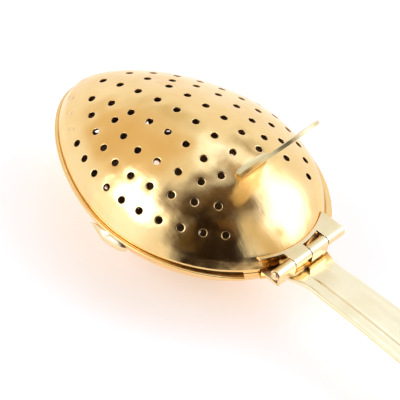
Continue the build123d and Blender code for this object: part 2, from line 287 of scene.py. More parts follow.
def new_piece(
    name, points, faces, body, node, material, sharp_angle=50.0, shade_gold=None, shade_faces=()
):
    """A smooth-shaded mesh that stands for a CAD node and rides on its body.

    Faces whose numbers are listed in the last argument get the second material, a darker gold that
    paints shade.
    """
    mesh = bpy.data.meshes.new(name)
    mesh.from_pydata(row_frame(points), [], faces)
    for number in shade_faces:
        mesh.polygons[number].material_index = 1
    shape = bmesh.new()
    shape.from_mesh(mesh)
    bmesh.ops.remove_doubles(shape, verts=shape.verts, dist=1e-6)
    bmesh.ops.recalc_face_normals(shape, faces=shape.faces)
    shape.to_mesh(mesh)
    shape.free()
    mesh.shade_smooth()
    mesh.set_sharp_from_angle(angle=math.radians(sharp_angle))
    mesh.materials.append(material)
    if shade_gold:
        mesh.materials.append(shade_gold)
    piece = bpy.data.objects.new(name, mesh)
    scene.collection.objects.link(piece)
    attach(piece, body)
    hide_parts(node)
    return piece


def add_solidify(piece, thickness):
    modifier = piece.modifiers.new("sheet", "SOLIDIFY")
    modifier.thickness = thickness * MM
    modifier.offset = 0
    modifier.use_even_offset = True
    return modifier


def add_bevel(piece, width, segments=2):
    modifier = piece.modifiers.new("edges", "BEVEL")
    modifier.width = width * MM
    modifier.segments = segments
    modifier.limit_method = "ANGLE"
    modifier.angle_limit = math.radians(50)
    modifier.harden_normals = True
    return modifier


def strip_faces(rows, columns, closed, first=0):
    """Quads between rows of points; closed joins each row's last point to its first."""
    faces = []
    for row in range(rows - 1):
        for column in range(columns if closed else columns - 1):
            after = (column + 1) % columns
            low = first + row * columns
            faces.append((low + column, low + after, low + columns + after, low + columns + column))
    return faces


# ---- the egg outline and the dome ------------------------------------------------------------
def cubic(p0, p1, p2, p3, t):
    s = 1 - t
    return s**3 * p0 + 3 * s**2 * t * p1 + 3 * s * t**2 * p2 + t**3 * p3


def egg_half(tip_length, end_length, half_width, widest_x, steps):
    """The outline's +Y half from the hinge end to the tip, as arrays of x and y."""
    t = np.linspace(0, 1, steps)
    end_x = widest_x + cubic(0, HINGE_END_FULLNESS * end_length, end_length, end_length, t)
    end_y = cubic(half_width, half_width, HINGE_END_FULLNESS * half_width, 0, t)
    tip_x = widest_x - cubic(0, TIP_FULLNESS * tip_length, tip_length, tip_length, t)
    tip_y = cubic(half_width, half_width, TIP_FULLNESS * half_width, 0, t)
    x = np.concatenate([end_x[::-1], tip_x[1:]])
    y = np.concatenate([end_y[::-1], tip_y[1:]])
    return x, y


# tables that the functions below look things up in
OUTLINE_X, OUTLINE_Y = egg_half(TIP_LENGTH, HINGE_LENGTH, HALF_WIDTH, 0.0, 500)
OUTLINE_ANGLES = np.arctan2(OUTLINE_Y, OUTLINE_X)
OUTLINE_RADII = np.hypot(OUTLINE_X, OUTLINE_Y)
PROFILE_T = np.linspace(0, 1, 300)      # along the profile, from the crown to the rim


def outline_radius(angle):
    wrapped = np.abs((np.asarray(angle) + math.pi) % (2 * math.pi) - math.pi)
    return np.interp(wrapped, OUTLINE_ANGLES, OUTLINE_RADII)


def outline_point(angle, scale=1.0, grow=0.0):
    """Plan point of the outline in a direction, scaled and then moved outwards."""
    step = 1e-3
    ahead = outline_radius(angle + step)
    behind = outline_radius(angle - step)
    along_x = ahead * np.cos(angle + step) - behind * np.cos(angle - step)
    along_y = ahead * np.sin(angle + step) - behind * np.sin(angle - step)
    length = np.hypot(along_x, along_y)
    radius = outline_radius(angle) * scale
    x = radius * np.cos(angle) + grow * along_y / length
    y = radius * np.sin(angle) - grow * along_x / length
    return x, y


def profile_scale(t):
    return cubic(0, CROWN_FULLNESS, 1, 1, t)


def profile_height(t):
    return SHELL_DEPTH * cubic(1, 1, WALL_FULLNESS, 0, t)


def meridian_lengths(radius):
    """Length along the dome from its crown, for each radius (rows) at each PROFILE_T."""
    out = np.outer(radius, profile_scale(PROFILE_T))
    up = profile_height(PROFILE_T)
    steps = np.hypot(np.diff(out, axis=1), np.diff(up))
    return np.concatenate([np.zeros((len(radius), 1)), np.cumsum(steps, axis=1)], axis=1)


def interp_rows(value, table, result):
    """For each row, where value falls in that row of an increasing table."""
    found = [np.interp(v, row, result) for v, row in zip(value, table)]
    return np.array(found)


def dome_point(flat):
    """Points on the dome, given as unrolled plan points: direction, and length from the crown."""
    angle = np.arctan2(flat[:, 1], flat[:, 0])
    radius = outline_radius(angle)
    t = interp_rows(np.hypot(flat[:, 0], flat[:, 1]), meridian_lengths(radius), PROFILE_T)
    out = radius * profile_scale(t)
    return np.column_stack([out * np.cos(angle), out * np.sin(angle), profile_height(t)])


def unrolled(points):
    """The unrolled plan points of points on or near the dome."""
    angle = np.arctan2(points[:, 1], points[:, 0])
    radius = outline_radius(angle)
    rise = np.arctan2(profile_height(PROFILE_T), np.outer(radius, profile_scale(PROFILE_T)))
    wanted = np.arctan2(points[:, 2], np.hypot(points[:, 0], points[:, 1]))
    t = interp_rows(-wanted, -rise, PROFILE_T)
    lengths = meridian_lengths(radius)
    along = np.array([np.interp(v, PROFILE_T, row) for v, row in zip(t, lengths)])
    return np.column_stack([along * np.cos(angle), along * np.sin(angle)])


def dome_normal(flat):
    step = 0.02
    across = dome_point(flat + (step, 0)) - dome_point(flat - (step, 0))
    along = dome_point(flat + (0, step)) - dome_point(flat - (0, step))
    normal = np.cross(across, along)
    return normal / np.linalg.norm(normal, axis=1)[:, None]


def dome_height(x, y):
    """Height of the dome over a plan point."""
    share = math.hypot(x, y) / float(outline_radius(math.atan2(y, x)))
    return float(np.interp(share, profile_scale(PROFILE_T), profile_height(PROFILE_T)))


# ---- the punched holes -----------------------------------------------------------------------
def egg_row(tip_x, widest_x, end_x, half_width, count, pitch):
    x, y = egg_half(widest_x - tip_x, end_x - widest_x, half_width, widest_x, 400)
    x, y = x[::-1], y[::-1]
    run = np.concatenate([[0], np.cumsum(np.hypot(np.diff(x), np.diff(y)))])
    places = [(tip_x, 0.0)]
    for number in range(count):
        distance = FIRST_GAP + number * pitch
        hole_x = np.interp(distance, run, x)
        hole_y = np.interp(distance, run, y)
        places += [(hole_x, hole_y), (hole_x, -hole_y)]
    return places


def hole_centres():
    places = []
    for row in EGG_ROWS:
        places += egg_row(*row)
    for y, first_x, count, pitch in STRAIGHT_ROWS:
        places += [(first_x + number * pitch, y) for number in range(count)]
    return np.array([(x, y, dome_height(x, y)) for x, y in places])


def circle_round(centre, normal, radius):
    """Points of a circle round a hole's centre, square to the surface there."""
    side = np.cross(normal, (0.0, 1.0, 0.0))
    side = side / np.linalg.norm(side)
    other = np.cross(normal, side)
    turn = np.linspace(0, 2 * math.pi, HOLE_POINTS, endpoint=False)
    return centre + radius * (np.outer(np.cos(turn), side) + np.outer(np.sin(turn), other))


# ---- shells ----------------------------------------------------------------------------------
def rim_directions():
    """Directions from the middle to each rim column, with a close pair at every notch corner."""
    angles = list(np.linspace(-math.pi, math.pi, COLUMNS, endpoint=False))
    on_hinge_side = OUTLINE_ANGLES < math.pi / 2
    outline_y = OUTLINE_RADII * np.sin(OUTLINE_ANGLES)
    for corner in (NOTCH_INNER, NOTCH_OUTER):
        angle = np.interp(corner, outline_y[on_hinge_side], OUTLINE_ANGLES[on_hinge_side])
        angles = [a for a in angles if abs(abs(a) - angle) > NOTCH_ROOM]
        angles += [side * angle + pair for side in (1, -1) for pair in (-NOTCH_PAIR, NOTCH_PAIR)]
    return np.array(sorted(angles))


def filler_points(angles, reach, centres):
    """Unrolled points in even triangles that fill the sheet between its rim and its holes."""
    filler = []
    rows = int(FILLER_REACH / MESH_STEP)
    for row in range(-rows, rows + 1):
        for column in range(-rows, rows + 1):
            x = (column + 0.5 * (row % 2)) * MESH_STEP
            filler.append((x, row * MESH_STEP * math.sqrt(0.75)))
    filler = np.array(filler)
    room = 0.6 * MESH_STEP
    rim_reach = np.interp(np.arctan2(filler[:, 1], filler[:, 0]), angles, reach)
    filler = filler[np.hypot(filler[:, 0], filler[:, 1]) < rim_reach - RIM_ROWS[-1] - room]
    on_dome = dome_point(filler)
    away = np.linalg.norm(on_dome[:, None, :] - centres[None, :, :], axis=2).min(axis=1)
    return filler[away > HOLE_RADIUS + HOLE_RINGS[-1] + room]


def shell_sheet(cut_t):
    """The dome above a cut level as one triangulated sheet with its holes left open.

    Returns the unrolled points, the triangles, each hole's first ring, the directions of the
    rim's columns and the holes' centres.
    """
    angles = rim_directions()
    lengths = meridian_lengths(outline_radius(angles))
    reach = np.array([np.interp(cut_t, PROFILE_T, row) for row in lengths])
    rim = np.column_stack([reach * np.cos(angles), reach * np.sin(angles)])
    centres = hole_centres()
    normals = dome_normal(unrolled(centres))
    groups = [rim] + [rim * (1 - inset / reach)[:, None] for inset in RIM_ROWS]
    rings = []
    count = len(rim) * len(groups)
    for centre, normal in zip(centres, normals):
        rings.append(list(range(count, count + HOLE_POINTS)))
        for radius in HOLE_RINGS:
            groups.append(unrolled(circle_round(centre, normal, HOLE_RADIUS + radius)))
            count += HOLE_POINTS
    groups.append(filler_points(angles, reach, centres))
    flat = np.concatenate(groups)
    return flat, open_triangles(flat, rings), rings, angles, centres


def open_triangles(flat, rings):
    """Triangles between the unrolled points, none of them inside a hole's ring."""
    edges = [(ring[i], ring[(i + 1) % HOLE_POINTS]) for ring in rings for i in range(HOLE_POINTS)]
    made = delaunay_2d_cdt([Vector(p) for p in flat], edges, [], 0, 1e-6)
    first_input = [sources[0] for sources in made[3]]
    # a triangle with all its corners on one hole's ring would close that hole
    owner = {point: number for number, ring in enumerate(rings) for point in ring}
    triangles = []
    for face in made[2]:
        corners = [first_input[v] for v in face]
        owners = {owner.get(c) for c in corners}
        if len(owners) > 1 or None in owners:
            triangles.append(corners)
    return triangles


def drawn_in(points, centres):
    """How far each point of the sheet lies below the plain dome: dishing and slow dents."""
    away = np.linalg.norm(points[:, None, :] - centres[None, :, :], axis=2).min(axis=1)
    dish = DISH_DEPTH * np.exp(-(np.maximum(away - HOLE_RADIUS, 0) / DISH_REACH) ** 2)
    dents = [0.5 + 0.5 * noise.noise(Vector(p) / DENT_SIZE) for p in points]
    fade = np.clip((points[:, 2] - SKIRT_TOP) / SMOOTH_RISE, 0, 1)
    return fade * (dish + DENT_DEPTH * np.array(dents))


def loop_faces(first, second):
    """Quads between two loops of the same number of points."""
    size = len(first)
    return [
        (first[i], first[(i + 1) % size], second[(i + 1) % size], second[i]) for i in range(size)
    ]


class ShellMesh:
    """Points and faces of a shell while it is put together."""

    def __init__(self):
        self.blocks = []
        self.count = 0
        self.faces = []
        self.inside = []        # numbers of the faces that get the darker gold of painted shade

    def add_points(self, points):
        """Adds points and returns their numbers."""
        first = self.count
        self.blocks.append(points)
        self.count += len(points)
        return list(range(first, self.count))

    def add_faces(self, faces, inside=False):
        if inside:
            self.inside += range(len(self.faces), len(self.faces) + len(faces))
        self.faces += faces


def add_hole_wall(mesh, ring, far_ring, at_depth, normal):
    """A hole's rounded edge and its wall, from its ring outside to its ring inside."""
    middle = at_depth(ring, 0.0).mean(axis=0)
    previous = ring
    for beyond, depth in HOLE_WALL:
        axis_point = middle - normal * depth
        share = (HOLE_RADIUS + beyond) / (HOLE_RADIUS + HOLE_EDGE)
        current = mesh.add_points(axis_point + (at_depth(ring, depth) - axis_point) * share)
        mesh.add_faces(loop_faces(previous, current), inside=beyond == 0)
        previous = current
    mesh.add_faces(loop_faces(previous, far_ring), inside=True)


def make_shell(name, body, rim_rings, cut_z, upside_down, flat_z=None):
    """A perforated half: the sheet, its inside, the holes' walls and the rings round its rim.

    rim_rings gives, for each ring from the outside to the inside, a function of the columns'
    directions that returns the ring's scale, growth and height.
    """
    cut_t = float(np.interp(-cut_z, -profile_height(PROFILE_T), PROFILE_T))
    flat, triangles, rings, angles, centres = shell_sheet(cut_t)
    normals = dome_normal(flat)
    base = dome_point(flat)
    base = base - normals * drawn_in(base, centres)[:, None]

    def at_depth(which, depth):
        points = base[which] - normals[which] * depth
        if flat_z is not None:
            points[:, 2] = np.minimum(points[:, 2], flat_z - depth)
        return points

    mesh = ShellMesh()
    outer = mesh.add_points(at_depth(np.arange(len(flat)), 0.0))
    inner = mesh.add_points(at_depth(np.arange(len(flat)), SHEET))
    mesh.add_faces([tuple(t) for t in triangles])
    mesh.add_faces([tuple(inner[c] for c in reversed(t)) for t in triangles], inside=True)
    for ring in rings:
        add_hole_wall(mesh, ring, [inner[p] for p in ring], at_depth, normals[ring[0]])
    previous = outer[:len(angles)]
    for ring_at in rim_rings:
        scale, grow, height = ring_at(angles)
        x, y = outline_point(angles, scale, grow)
        current = mesh.add_points(np.column_stack([x, y, height]))
        mesh.add_faces(loop_faces(previous, current))
        previous = current
    mesh.add_faces(loop_faces(previous, inner[:len(angles)]))
    points = np.concatenate(mesh.blocks)
    if upside_down:
        points = points * (1, 1, -1)
    else:
        points = points + (0, 0, LID_LIFT)
    return new_piece(
        name, points, mesh.faces, body, "bowl" if upside_down else "lid",
        SHELL_GOLD, shade_gold=SHADED_INSIDE_GOLD, shade_faces=mesh.inside
    )


def plain_ring(scale, grow, height):
    return lambda angles: (scale, grow, np.full(len(angles), height))


def skirt_share(height):
    """The skirt is straight from the crease to the rim; this is its share of the outline."""
    crease = float(np.interp(-SKIRT_TOP, -profile_height(PROFILE_T), profile_scale(PROFILE_T)))
    return crease + (1 - crease) * (SKIRT_TOP - height) / (SKIRT_TOP - RIM_ROUNDING)


def make_lid():
    """A straight skirt under a slight crease, and a rounded rim."""
    levels = (1.8, 1.2, 0.6, RIM_ROUNDING)
    rings = [plain_ring(skirt_share(level), 0.0, level) for level in levels]
    rings += [
        plain_ring(1.0, -0.01, 0.05),
        plain_ring(1.0, -0.05, 0.0),
        plain_ring(1.0, 0.07 - SHEET, 0.0),
        plain_ring(1.0, -SHEET, 0.06),
    ]
    rings += [plain_ring(skirt_share(level), -SHEET, level) for level in (0.6, 1.2, 1.8)]
    return make_shell("lid_shell", "lid", rings, SKIRT_TOP, False)


def flange_width(angles):
    """Width of the flange in each direction: it widens from the tip towards the hinge."""
    x = outline_point(angles)[0]
    lengthwise = (outline_point(angles, 1.0, 1.0)[0] - x) ** 2
    at_end = np.where(x > 0, FLANGE_HINGE_WIDTH, FLANGE_TIP_WIDTH)
    return at_end * lengthwise + FLANGE_SIDE_WIDTH * (1 - lengthwise)


def flange_ring(share, inset, height):
    """A ring at a share of the flange's width; it stays on the wall where the flange is cut away."""
    def ring_at(angles):
        x, y = outline_point(angles)
        cut_away = (x > 0) & (np.abs(y) > NOTCH_INNER) & (np.abs(y) < NOTCH_OUTER)
        reach = share * flange_width(angles) - inset
        reach = np.where(cut_away, np.minimum(reach, 0.0), reach)
        return 1.0, reach, np.full(len(angles), height)
    return ring_at


def make_bowl():
    """Wall, flange with softly rounded edges, and back down the inside.

    A flange ring is a share of the flange's width, an inset from there, and a height.
    """
    rings = [
        plain_ring(1.0, -0.03, SHEET + 0.25),
        flange_ring(0, -0.03, SHEET + 0.06),
        flange_ring(0, -0.10, SHEET),
        flange_ring(1, 0.08, SHEET),
        flange_ring(1, 0.02, SHEET - 0.03),
        flange_ring(1, 0.0, SHEET - 0.10),
        flange_ring(1, 0.0, 0.10),
        flange_ring(1, 0.02, 0.04),
        flange_ring(1, 0.08, 0.01),
        flange_ring(1, 0.2, 0.0),
        flange_ring(0.2, 0.0, 0.0),
        plain_ring(1.0, 0.07 - SHEET, 0.0),
        plain_ring(1.0, -SHEET, 0.07),
        plain_ring(1.0, -SHEET, 0.6),
    ]
    return make_shell("bowl_shell", "spoon", rings, BOWL_CUT, True, SHELL_DEPTH - BOWL_FLAT)


# ---- hinge -----------------------------------------------------------------------------------
def knuckle_span(number):
    """Ends along the axis of knuckle 0 to 3, counted from the -Y end."""
    low = (number - 2) * KNUCKLE_PITCH
    return low + KNUCKLE_GAP / 2, low + KNUCKLE_PITCH - KNUCKLE_GAP / 2


def rolled(start_degrees, turn_degrees):
    """Middle line of a knuckle's rolled sheet, round the hinge axis."""
    radius = KNUCKLE_RADIUS - LEAF_THICKNESS / 2
    line = []
    for step in range(ROLL_STEPS + 1):
        angle = math.radians(start_degrees + turn_degrees * step / ROLL_STEPS)
        line.append((HINGE_X + radius * math.cos(angle), HINGE_Z + radius * math.sin(angle)))
    return line


def rim_x(y, grow=0.0):
    """x of the rim outline at a distance from the centre line, on the hinge side."""
    angles = OUTLINE_ANGLES[OUTLINE_ANGLES < 1.4]
    x, across = outline_point(angles, 1.0, grow)
    return float(np.interp(abs(y), across, x))


def leaf_columns():
    """Places along the hinge axis of every knuckle's ends, with plain columns between."""
    columns = []
    for number in range(4):
        low, high = knuckle_span(number)
        columns += [low + (high - low) * step / KNUCKLE_STEPS for step in range(KNUCKLE_STEPS + 1)]
    return columns


def in_painted_shade(points, face):
    """Whether a face of a leaf lies low, between the lid's rim and the barrel, in the painted shade.
    """
    shade_reach = 2 * KNUCKLE_PITCH - SHADE_END
    corners = [points[corner] for corner in face]
    return all(x < HINGE_X and abs(y) < shade_reach and z < LEAF_THICKNESS for x, y, z in corners)


def make_leaf(name, body, node, plate_line, roll, knuckles):
    """A leaf: a plate whose cross-section is plate_line(y), rolled into its own knuckles."""
    columns = leaf_columns()
    points = []
    for y in columns:
        points += [(x, y, z) for x, z in plate_line(y) + roll]
    plate_size = len(plate_line(0.0))
    size = plate_size + len(roll)
    own = [knuckle_span(number) for number in knuckles]
    faces = []
    for column in range(len(columns) - 1):
        middle = (columns[column] + columns[column + 1]) / 2
        rolled_here = any(low < middle < high for low, high in own)
        last = size - 1 if rolled_here else plate_size - 2
        for row in range(last):
            low = column * size + row
            faces.append((low, low + 1, low + size + 1, low + size))
    used = sorted({corner for face in faces for corner in face})
    renumber = {old: new for new, old in enumerate(used)}
    faces = [tuple(renumber[c] for c in face) for face in faces]
    points = [points[old] for old in used]
    # the low faces in the gap under the lid's leaf get the near-black gold: painted shade
    shaded = [n for n, face in enumerate(faces) if in_painted_shade(points, face)]
    piece = new_piece(
        name, points, faces, body, node, HINGE_GOLD, 80.0, SHADED_GAP_GOLD, shaded
    )
    add_solidify(piece, LEAF_THICKNESS)
    add_bevel(piece, LEAF_EDGE)
    return piece


def bowl_plate(y):
    """Flat on the flange and on under the barrel."""
    z = LEAF_THICKNESS / 2
    start = rim_x(y, PLATE_START)
    end = HINGE_X + KNUCKLE_RADIUS - LEAF_THICKNESS
    return [(start + (end - start) * step / 4, z) for step in range(5)]


def bowl_roll():
    """Up behind the barrel, and round the pin until the sheet's end nearly meets the riser."""
    wall_x = HINGE_X + KNUCKLE_RADIUS - LEAF_THICKNESS / 2
    middle_z = LEAF_THICKNESS / 2
    bend = [(wall_x - 0.09, middle_z + 0.03), (wall_x - 0.02, middle_z + 0.11)]
    riser = [(wall_x, middle_z + 0.25), (wall_x, 1.1)]
    return bend + riser + rolled(0, 285)


def lid_plate(y):
    """From the lid's wall, level with the top of the barrel."""
    z = HINGE_Z + KNUCKLE_RADIUS - LEAF_THICKNESS / 2
    share = float(np.interp(-(z - LID_LIFT), -profile_height(PROFILE_T), profile_scale(PROFILE_T)))
    on_wall = rim_x(y / share) * share + 0.03
    strip = max(rim_x(y, STRIP_GROW), on_wall + STRIP_WIDTH)
    return [(on_wall, z), (strip, z), (strip + 0.4 * (HINGE_X - strip), z)]


def make_hinge_leaves():
    top_roll = rolled(90, -300)
    make_leaf("bowl_leaf", "spoon", "bowl_hinge_leaf", bowl_plate, bowl_roll(), (0, 2))
    make_leaf("lid_leaf", "lid", "lid_hinge_leaf", lid_plate, top_roll, (1, 3))


def make_pin():
    """A turned pin: shank through the knuckles, and a low peened head with a dimple at each end."""
    end = 2 * KNUCKLE_PITCH + PIN_END_GAP
    half = [
        (0.0, end + 0.12),
        (0.14, end + 0.13),
        (0.28, end + 0.24),
        (0.42, end + PIN_HEAD_LENGTH),
        (0.60, end + 0.26),
        (PIN_HEAD_RADIUS, end + 0.14),
        (PIN_HEAD_RADIUS, end + 0.03),
        (PIN_HEAD_RADIUS - 0.04, end),
        (PIN_RADIUS, end),
    ]
    line = half + [(radius, -y) for radius, y in reversed(half)]
    points = []
    for radius, y in line:
        for step in range(PIN_SIDES):
            angle = 2 * math.pi * step / PIN_SIDES
            points.append((HINGE_X + radius * math.cos(angle), y, HINGE_Z + radius * math.sin(angle)))
    faces = strip_faces(len(line), PIN_SIDES, True)
    return new_piece("hinge_rod", points, faces, "spoon", "hinge_pin", HINGE_GOLD)


# ---- thumb tab -------------------------------------------------------------------------------
def tab_half_width(share):
    """Half the blade's width at a share of its length: flared above the foot, round at the top."""
    foot = TAB_FOOT_WIDTH / 2
    wide = TAB_WIDTH / 2
    t = np.linspace(0, 1, 200)
    if share < TAB_WIDEST:
        up = cubic(-TAB_SUNK / TAB_LENGTH, TAB_FLARE_START, TAB_FLARE_END, TAB_WIDEST, t)
        out = cubic(foot, foot, wide, wide, t)
    else:
        up = cubic(TAB_WIDEST, TAB_SHOULDER, 1, 1, t)
        out = cubic(wide, wide, TAB_CROWN_FLATNESS * wide, 0, t)
    return float(np.interp(share, up, out))


def make_tab():
    """One bent sheet: a foot on the lid, a tight bend, and the blade leaning back."""
    tilt = math.radians(TAB_TILT)
    lift = LID_LIFT + TAB_THICKNESS / 2 + TAB_STAND_OFF
    half_foot = TAB_FOOT_WIDTH / 2
    spread = [2 * column / (TAB_COLUMNS - 1) - 1 for column in range(TAB_COLUMNS)]
    points = []
    for foot_x in TAB_FOOT_ROWS:
        corner = TAB_FOOT_CORNER if foot_x == TAB_FOOT_ROWS[0] else 0.0
        for across in spread:
            x = TAB_X + foot_x
            y = TAB_OFFSET_Y + across * (half_foot - corner)
            points.append((x, y, dome_height(x, y) + lift))
    for share in TAB_ROWS:
        along = TAB_BEND + share * (TAB_LENGTH - TAB_BEND - TAB_END_ROOM)
        bow = TAB_BOW * math.sin(math.pi * share)
        settle = max(0.0, 1 - share / TAB_SETTLE)
        for across in spread:
            foot_z = dome_height(TAB_X, TAB_OFFSET_Y + across * half_foot) + lift
            drop = settle * (foot_z - TAB_ROOT_Z - LID_LIFT)
            x = TAB_X + along * math.sin(tilt) - bow * math.cos(tilt) + drop * math.tan(tilt)
            y = TAB_OFFSET_Y + across * tab_half_width(share)
            z = TAB_ROOT_Z + LID_LIFT + along * math.cos(tilt) + bow * math.sin(tilt) + drop
            points.append((x, y, z))
    rows = len(TAB_FOOT_ROWS) + len(TAB_ROWS)
    faces = strip_faces(rows, TAB_COLUMNS, False)
    piece = new_piece("tab_blade", points, faces, "lid", "thumb_tab", TAB_GOLD, 80.0)
    add_solidify(piece, TAB_THICKNESS)
    add_bevel(piece, TAB_EDGE, 4)
    return piece


# ---- handle ----------------------------------------------------------------------------------
def handle_top(x):
    """Height of the handle's top: curves down, then levels out where it rests."""
    rest_z = BOWL_BOTTOM + HANDLE_THICKNESS
    first_run = HANDLE_TURN_X - HANDLE_ROOT_X
    second_run = HANDLE_REST_X - HANDLE_TURN_X
    drop = HANDLE_ROOT_Z - rest_z
    steepest = (2 * drop + HANDLE_ROOT_RISE * first_run) / (first_run + second_run)
    if x < HANDLE_TURN_X:
        run = x - HANDLE_ROOT_X
        bend = (steepest + HANDLE_ROOT_RISE) / first_run
        return HANDLE_ROOT_Z + HANDLE_ROOT_RISE * run - bend * max(run, 0) ** 2 / 2
    return rest_z + steepest * (x - HANDLE_REST_X) ** 2 / (2 * second_run)


def smooth_through(table, x):
    """A smooth curve through a table of (x, value), with slopes taken from the neighbours."""
    xs = [p[0] for p in table]
    ys = [p[1] for p in table]
    slopes = np.gradient(ys, xs)
    i = int(np.clip(np.searchsorted(xs, x) - 1, 0, len(xs) - 2))
    gap = xs[i + 1] - xs[i]
    t = (x - xs[i]) / gap
    a, b = ys[i], ys[i + 1]
    return cubic(a, a + slopes[i] * gap / 3, b - slopes[i + 1] * gap / 3, b, t)


def handle_half_width(x):
    start = HANDLE_SIDE[-1][0]
    if x <= start:
        return smooth_through(HANDLE_SIDE, x)
    share = (x - start) / (HANDLE_END_X - start)
    return HANDLE_SIDE[-1][1] * math.sqrt(max(0.0, 1 - share * share))


def handle_section():
    """Half of the cross-section: share of the half width, and height over or under the top."""
    rise = PANEL_RISE
    return [
        (0.0, rise),
        (0.25, rise),
        (0.40, rise - 0.005),
        (0.43, rise - 0.03),
        (0.46, 0.03),
        (0.485, 0.0),
        (0.55, -0.015),
        (0.75, -0.01),
        (0.93, 0.0),
        (0.975, -0.05),
        (1.0, -0.2),
        (1.0, 0.2 - HANDLE_THICKNESS),
        (0.97, 0.06 - HANDLE_THICKNESS),
        (0.90, -HANDLE_THICKNESS),
        (0.5, -HANDLE_THICKNESS),
        (0.0, -HANDLE_THICKNESS),
    ]


def handle_stations():
    """x of every cross-section: close together at the root and round the end."""
    round_start = HANDLE_SIDE[-1][0]
    round_length = HANDLE_END_X - round_start
    stations = list(HANDLE_ROOT_STATIONS)
    stations += list(np.linspace(HANDLE_STRAIGHT_START, round_start, HANDLE_STRAIGHT_STATIONS))
    for angle in np.linspace(*HANDLE_ROUND_ANGLES, HANDLE_ROUND_STATIONS):
        stations.append(round_start + round_length * math.sin(math.radians(angle)))
    return stations


def make_handle():
    """The strip with its raised panel, which fades out at both ends."""
    half = handle_section()
    section = half + [(-share, height) for share, height in reversed(half[1:-1])]
    stations = handle_stations()
    round_start = HANDLE_SIDE[-1][0]
    points = []
    for x in stations:
        width = handle_half_width(x)
        top = handle_top(x)
        end_share = max(0.0, (x - round_start) / (HANDLE_END_X - round_start))
        panel = 1.0 - end_share ** 4
        panel *= min(1.0, max(0.0, (x - PANEL_START_X) / PANEL_FADE))
        for share, height in section:
            lifted = height * panel if height > 0 else height
            points.append((x, share * width, top + lifted))
    count = len(section)
    faces = strip_faces(len(stations), count, True)
    faces.append(tuple(reversed(range(count))))
    faces.append(tuple(range((len(stations) - 1) * count, len(stations) * count)))
    points = [outside_bowl(p) for p in points]
    return new_piece(
        "handle_strip", points, faces, "spoon", "handle", HANDLE_GOLD, 35.0
    )


def outside_bowl(point):
    """Moves a point that is inside the bowl's wall along X to just outside it."""
    x, y, z = point
    level = min(max(-z, 0.0), SHELL_DEPTH - 0.01)
    share = float(np.interp(-level, -profile_height(PROFILE_T), profile_scale(PROFILE_T)))
    wall_x = rim_x(y / share) * share + 0.05
    return (max(x, wall_x), y, z)


# ---- side catch ------------------------------------------------------------------------------
def catch_reach(x):
    """Share of the catch's reach at a share of its half length: long slope, then a round end."""
    if x < CATCH_CREST:
        return math.sin(math.pi / 2 * (x + 1) / (1 + CATCH_CREST)) ** 1.6
    return max(0.0, 1 - ((x - CATCH_CREST) / (1 - CATCH_CREST)) ** 2.6) ** 0.6


def squared(value):
    """A sine or cosine made squarer, with its sign kept."""
    return math.copysign(abs(value) ** CATCH_SQUARENESS, value)


def make_catch():
    """Rounded ear with a flat top, a long slope towards the tip and a small pressed dimple."""
    inner_y = -(HALF_WIDTH + FLANGE_SIDE_WIDTH - CATCH_INSET)
    half_depth = CATCH_DEPTH / 2
    full_reach = CATCH_REACH - CATCH_SHORT + CATCH_INSET
    points = []
    for row in range(CATCH_ROWS):
        x = math.sin(math.pi * (row / (CATCH_ROWS - 1) - 0.5)) * 0.999
        size = max(catch_reach(x), CATCH_THINNEST)
        for column in range(CATCH_COLUMNS):
            turn = 2 * math.pi * column / CATCH_COLUMNS
            outwards = squared(math.cos(turn))
            upwards = squared(math.sin(turn))
            out = full_reach * size * (outwards if outwards > 0 else CATCH_BACK * outwards)
            z = upwards * half_depth * size ** 0.6
            if upwards > 0:
                away = (x / DIMPLE_HALF_LENGTH) ** 2 + ((out - DIMPLE_PLACE) / DIMPLE_HALF_WIDTH) ** 2
                z -= DIMPLE_DEPTH * math.exp(-away)
            points.append((CATCH_X + x * CATCH_LENGTH / 2, inner_y - out, z - half_depth - CATCH_DROP))
    faces = strip_faces(CATCH_ROWS, CATCH_COLUMNS, True)
    faces.append(tuple(reversed(range(CATCH_COLUMNS))))
    faces.append(tuple(range((CATCH_ROWS - 1) * CATCH_COLUMNS, CATCH_ROWS * CATCH_COLUMNS)))
    return new_piece("catch_ear", points, faces, "spoon", "side_catch", HINGE_GOLD)


# ---- studio ----------------------------------------------------------------------------------
def direction(azimuth, elevation):
    """Unit vector; azimuth 0 is -Y and 90 is +X, in degrees."""
    a, e = math.radians(azimuth), math.radians(elevation)
    return Vector((math.sin(a) * math.cos(e), -math.cos(a) * math.cos(e), math.sin(e)))


def math_node(tree, operation, first, second=None):
    """A calculation's output; each of its inputs is a number or another node's output."""
    node = tree.nodes.new("ShaderNodeMath")
    node.operation = operation
    for socket, value in zip(node.inputs, (first, second)):
        if value is None:
            continue
        if isinstance(value, (int, float)):
            socket.default_value = value
        else:
            tree.links.new(value, socket)
    return node.outputs[0]


def dot_with(tree, vector, fixed):
    """How far a vector output reaches along a fixed direction."""
    node = tree.nodes.new("ShaderNodeVectorMath")
    node.operation = "DOT_PRODUCT"
    tree.links.new(vector, node.inputs[0])
    node.inputs[1].default_value = fixed
    return node.outputs["Value"]


def soft_edge(tree, value, full, none):
    """1 while value is under full, falling smoothly to 0 at none."""
    node = tree.nodes.new("ShaderNodeMapRange")
    node.interpolation_type = "SMOOTHSTEP"
    tree.links.new(value, node.inputs["Value"])
    node.inputs["From Min"].default_value = full
    node.inputs["From Max"].default_value = none
    node.inputs["To Min"].default_value = 1.0
    node.inputs["To Max"].default_value = 0.0
    return node.outputs["Result"]


